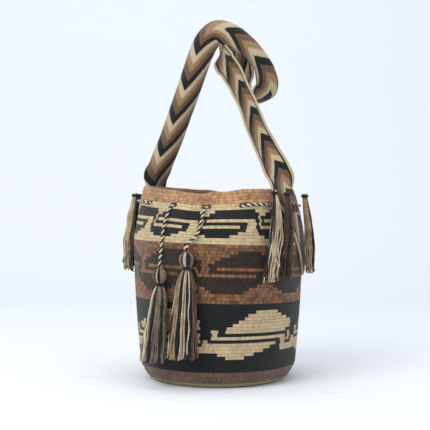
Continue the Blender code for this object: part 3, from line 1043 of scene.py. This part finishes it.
def coil(name, node, centre, neck, turns=3.5):
    """Thread wound round a neck."""
    angle = np.linspace(0, 2 * math.pi * turns, int(20 * turns))
    thread = 0.00075
    radius = neck + GAP + thread
    drop = np.linspace(1.3, -1.3, len(angle)) * BINDING
    line = np.column_stack([radius * np.cos(angle), radius * np.sin(angle), drop]) + centre
    made = tubes(name, [(line, np.full(len(line), thread), 0)], 7, [YARNS["black"]])
    return declare(made, "binding_thread", node)


YARN_NAMES = ("black", "cream", "white", "tan", "brown", "grey", "wine", "umber")


def yarn_number(stops, across, wander):
    """The colour at a place across a tassel, where each colour runs up to its stop."""
    for stop, name in stops:
        if across + wander < stop:
            return YARN_NAMES.index(name)
    return YARN_NAMES.index(stops[-1][1])


HEAD_STRANDS = 26
TASSEL_COLOURS = {
    "left": ((-0.62, "grey"), (-0.12, "umber"), (0.34, "cream"), (0.74, "black"), (2, "grey")),
    "right": ((-0.66, "grey"), (-0.22, "umber"), (0.30, "cream"), (0.78, "black"), (2, "grey")),
}
SKIRT_COLOURS = {
    "left": (
        (-0.90, "grey"),
        (-0.74, "black"),
        (-0.46, "white"),
        (-0.36, "black"),
        (-0.24, "cream"),
        (0.22, "black"),
        (0.62, "grey"),
        (0.80, "black"),
        (2, "grey"),
    ),
    "right": (
        (-0.90, "white"),
        (-0.78, "umber"),
        (-0.42, "tan"),
        (-0.10, "black"),
        (0.26, "cream"),
        (0.48, "black"),
        (0.58, "white"),
        (0.84, "black"),
        (2, "brown"),
    ),
}
SKIRT_STRANDS = 150
SKIRT_YARN = 0.00082


def across_and_away(angle):
    """Level directions along the skin, to the right seen from outside, and away from it."""
    return np.array([-math.sin(angle), math.cos(angle), 0]), np.array([math.cos(angle), math.sin(angle), 0])


def add_tassel_head(side):
    head = np.array(TASSELS[side][0])
    along, away = across_and_away(math.atan2(head[1], head[0]))
    thread = 0.00135
    strands = []
    for number in range(HEAD_STRANDS):
        turn = 2 * math.pi * number / HEAD_STRANDS
        swing = np.linspace(0.16, math.pi - 0.36, 14)
        size = (TASSEL_HEAD - thread) * (1 + 0.03 * math.sin(5 * turn))
        points = (
            head
            + along * (size * math.cos(turn)) * np.sin(swing)[:, None]
            + away * (0.9 * size * math.sin(turn)) * np.sin(swing)[:, None]
            + np.array([0, 0, 1]) * (TASSEL_HEAD * np.cos(swing))[:, None]
        )
        colour = yarn_number(TASSEL_COLOURS[side], math.cos(turn), 0)
        strands.append((points, thread * (0.55 + 0.45 * np.sin(swing)), colour))
    made = tubes(f"{side}_tassel_head", strands, 6, [YARNS[name] for name in YARN_NAMES])
    return declare(made, "tassel_yarn", f"{side}_tassel_yarn")


def bundle(seed, count, centre_line, widths, depths, frames, thread, colours, wave, ragged):
    """Loose yarns that fill a bundle: its middle, half sizes and level directions by station."""
    random = np.random.default_rng(seed)
    stations = len(centre_line)
    part = np.linspace(0, 1, stations)
    along, away = frames
    strands = []
    for number in range(count):
        turn = number * math.pi * (3 - math.sqrt(5))
        reach = math.sqrt((number + 0.5) / count)
        reach = 0.30 + 0.70 * reach
        drift = random.normal(0, 0.05, 2)
        across = np.clip(reach * math.cos(turn) + drift[0] * part, -1.05, 1.05)
        deep = np.clip(reach * math.sin(turn) + drift[1] * part, -1.05, 1.05)
        phase = random.uniform(0, 2 * math.pi, 4)
        speed = random.uniform(1.2, 3.4, 2)
        size = wave * part * (1.1 - 0.3 * part)
        sideways = size * (np.sin(2 * math.pi * speed[0] * part + phase[0]) + 0.4 * np.sin(13 * part + phase[1]))
        forwards = 0.5 * size * np.sin(2 * math.pi * speed[1] * part + phase[2])
        end = 1 - ragged * random.uniform(0, 1) ** 1.5 + 0.25 * ragged * random.uniform(-1, 1)
        colour = yarn_number(colours, reach * math.cos(turn), random.normal(0, 0.035))
        points = (
            centre_line
            + along * (widths * across + sideways)[:, None]
            + away * (depths * deep + forwards)[:, None]
        )
        stretch = np.linspace(0, end, stations)
        points = np.column_stack([np.interp(stretch, part, points[:, axis]) for axis in range(3)])
        radii = np.full(stations, thread) * (1 + 0.10 * np.sin(9 * part + phase[3]))
        radii[-1] *= 1.25
        radii[-2] *= 1.08
        strands.append((points, radii, colour))
    return strands


def add_skirt(side, seed):
    head, tip, half_width = TASSELS[side]
    head, tip = np.array(head), np.array(tip)
    frames = across_and_away(math.atan2(head[1], head[0]))
    neck = head - np.array([0, 0, TASSEL_HEAD + 0.0015])
    stations = 22
    part = np.linspace(0, 1, stations) ** 1.25
    shape = np.array(
        ((0, 0.13, 0.26), (0.06, 0.42, 0.55), (0.15, 0.60, 0.74), (0.4, 0.76, 0.88), (0.7, 0.9, 0.93), (1, 1, 0.93))
    )
    widths = half_width * 0.97 * np.interp(part, shape[:, 0], shape[:, 1])
    depths = TASSEL_DEPTH * 0.95 * np.interp(part, shape[:, 0], shape[:, 2])
    line = neck + (tip - neck) * part[:, None]
    colours = SKIRT_COLOURS[side]
    strands = bundle(seed, SKIRT_STRANDS, line, widths, depths, frames, SKIRT_YARN, colours, 0.0011, 0.07)
    made = tubes(f"{side}_tassel_skirt", strands, 5, [YARNS[name] for name in YARN_NAMES])
    return declare(made, "tassel_yarn", f"{side}_tassel_yarn")


FRINGE_COLOURS = {
    "right_front": ((-0.82, "black"), (-0.60, "white"), (-0.48, "umber"), (0.55, "cream"), (0.66, "umber"), (2, "white")),
    "right_middle": ((-0.45, "wine"), (0.10, "umber"), (0.45, "brown"), (0.62, "black"), (2, "grey")),
    "right_back": ((-0.35, "tan"), (0.25, "black"), (0.42, "cream"), (0.70, "umber"), (2, "grey")),
    "left_front": ((-0.30, "cream"), (-0.10, "black"), (0.55, "grey"), (2, "cream")),
    "left_middle": ((-0.2, "black"), (0.2, "grey"), (0.6, "cream"), (2, "black")),
    "left_back": ((-0.4, "brown"), (0.2, "cream"), (0.5, "brown"), (2, "black")),
}
FRINGE_SLOTS = {
    "right_front": "fringe_cream",
    "right_middle": "fringe_brown",
    "right_back": "fringe_black",
    "left_front": "fringe_cream",
    "left_middle": "fringe_black",
    "left_back": "fringe_brown",
}
FRINGE_STRANDS = 46
FRINGE_YARN = 0.00088


def add_fringe(name, seed, slot):
    knot_angle, tip_angle, knot_height, tip_height, half_width = FRINGES[name]
    stations = 24
    part = np.linspace(-0.03, 1, stations)
    heights = knot_height + (tip_height - knot_height) * part
    degrees = knot_angle + (tip_angle - knot_angle) * smoothstep(part)
    line = np.array([fringe_centre(d, h, FRINGE_DEPTH) for d, h in zip(degrees, heights)])
    frames = across_and_away(math.radians((knot_angle + tip_angle) / 2))
    shape = np.array(((-0.05, 0.0030, 0.0030), (0, 0.0025, 0.0025), (0.05, 0.0036, 0.0032), (0.30, 0.0088, 0.0055), (0.65, 0.9 * half_width, 0.0062), (1, half_width, 0.0062)))
    widths = np.interp(part, shape[:, 0], shape[:, 1])
    depths = np.interp(part, shape[:, 0], shape[:, 2])
    strands = bundle(seed, FRINGE_STRANDS, line, widths, depths, frames, FRINGE_YARN, FRINGE_COLOURS[name], 0.0024, 0.16)
    made = tubes(f"{name}_yarns", strands, 5, [YARNS[yarn] for yarn in YARN_NAMES])
    declare(made, slot, f"{name}_fringe")
    knot = fringe_centre(knot_angle, knot_height, FRINGE_DEPTH)
    coil(f"{name}_knot", f"{name}_fringe_binding", knot, FRINGE_NECK, 3)
    return made


# ---------------------------------------------------------------- the stage


def add_camera():
    turn = math.radians(VIEW_AZIMUTH)
    camera = bpy.data.objects.new("camera", bpy.data.cameras.new("camera"))
    bpy.context.scene.collection.objects.link(camera)
    camera.location = (
        CAMERA_DISTANCE * math.sin(turn) + CAMERA_SIDESTEP * math.cos(turn),
        -CAMERA_DISTANCE * math.cos(turn) + CAMERA_SIDESTEP * math.sin(turn),
        CAMERA_HEIGHT,
    )
    camera.rotation_euler = (math.pi / 2, 0, turn)
    camera.data.sensor_width = 36
    camera.data.lens = LENS_MM
    bpy.context.scene.camera = camera


def add_light(name, azimuth, elevation, distance, size, power, colour):
    """A square soft light that points at the bag's middle."""
    data = bpy.data.lights.new(name, "AREA")
    data.size = size
    data.energy = power
    data.color = colour
    light = bpy.data.objects.new(name, data)
    bpy.context.scene.collection.objects.link(light)
    turn, rise = math.radians(azimuth), math.radians(elevation)
    back = np.array([math.sin(turn) * math.cos(rise), -math.cos(turn) * math.cos(rise), math.sin(rise)])
    light.location = np.array([0, 0, 0.2]) + back * distance
    direction = light.location - Vector((0, 0, 0.2))
    light.rotation_euler = direction.to_track_quat("Z", "Y").to_euler()


def add_stage():
    """A pale floor that curves up into a backdrop, behind the bag from the camera's side."""
    turn = math.radians(VIEW_AZIMUTH)
    across = np.array([math.cos(turn), math.sin(turn), 0])
    behind = np.array([-math.sin(turn), math.cos(turn), 0])
    profile = [(-3.0, 0.0), (1.2, 0.0)]
    for step in range(1, 13):
        bend = step / 12 * math.pi / 2
        profile.append((1.2 + 0.8 * math.sin(bend), 0.8 * (1 - math.cos(bend))))
    profile.append((2.0, 3.5))
    points = []
    for reach, height in profile:
        for side in (-3.5, 3.5):
            points.append(across * side + behind * reach + np.array([0, 0, height - 0.0004]))
    faces = [[2 * i, 2 * i + 1, 2 * i + 3, 2 * i + 2] for i in range(len(profile) - 1)]
    nodes = Nodes("backdrop_paper")
    nodes.put(nodes.shader, "Base Color", linear((236, 239, 242)))
    nodes.put(nodes.shader, "Roughness", 0.9)
    nodes.put(nodes.shader, "Specular IOR Level", 0.1)
    stage = make_object("backdrop", np.array(points), [faces], [nodes.material])
    world = bpy.data.worlds.new("studio")
    world.use_nodes = True
    sky = world.node_tree.nodes["Background"]
    sky.inputs["Color"].default_value = linear((240, 245, 250))
    sky.inputs["Strength"].default_value = WORLD_STRENGTH
    bpy.context.scene.world = world
    add_light("key", -10, 38, 2.6, 1.6, KEY_POWER, (1.0, 0.98, 0.95))
    add_light("fill", 75, 20, 2.8, 2.0, FILL_POWER, (0.96, 0.98, 1.0))
    add_light("top", 20, 85, 2.4, 1.8, TOP_POWER, (1.0, 1.0, 1.0))


WORLD_STRENGTH = 0.75
KEY_POWER = 34
FILL_POWER = 10
TOP_POWER = 16
INSIDE_STRETCH = 0

add_camera()
bpy.context.scene.view_settings.view_transform = "Standard"
YARNS = {
    "black": yarn_material("yarn_black", BLACK, 0.3),
    "cream": yarn_material("yarn_cream", (198, 178, 146), 0.14),
    "white": yarn_material("yarn_white", (220, 208, 182), 0.10),
    "tan": yarn_material("yarn_tan", (164, 138, 110), 0.20),
    "brown": yarn_material("yarn_brown", (104, 76, 60), 0.22),
    "grey": yarn_material("yarn_grey", (122, 108, 92), 0.24),
    "wine": yarn_material("yarn_wine", WINE, 0.22),
    "umber": yarn_material("yarn_umber", UMBER, 0.25),
}

drawstring, cord_line = add_drawstring()
heads = [add_tassel_head(side) for side in TASSELS]
for side in TASSELS:
    top = np.array(TASSELS[side][0])
    coil(f"{side}_tassel_neck", f"{side}_tassel_binding", top - np.array([0, 0, TASSEL_HEAD + 0.0015]), TASSEL_NECK)
add_bag()
strap_length = add_strap()
add_seam("left_seam", "left_seam_thread", LEFT_TAIL_ANGLES)
add_seam("right_seam", "right_seam_thread", RIGHT_TAIL_ANGLES)
for number, side in enumerate(TASSELS):
    add_skirt(side, 11 + number)
for number, name in enumerate(FRINGES):
    add_fringe(name, 31 + number, FRINGE_SLOTS[name])
add_stage()

print("drawstring", length_of(cord_line), "strap", strap_length)
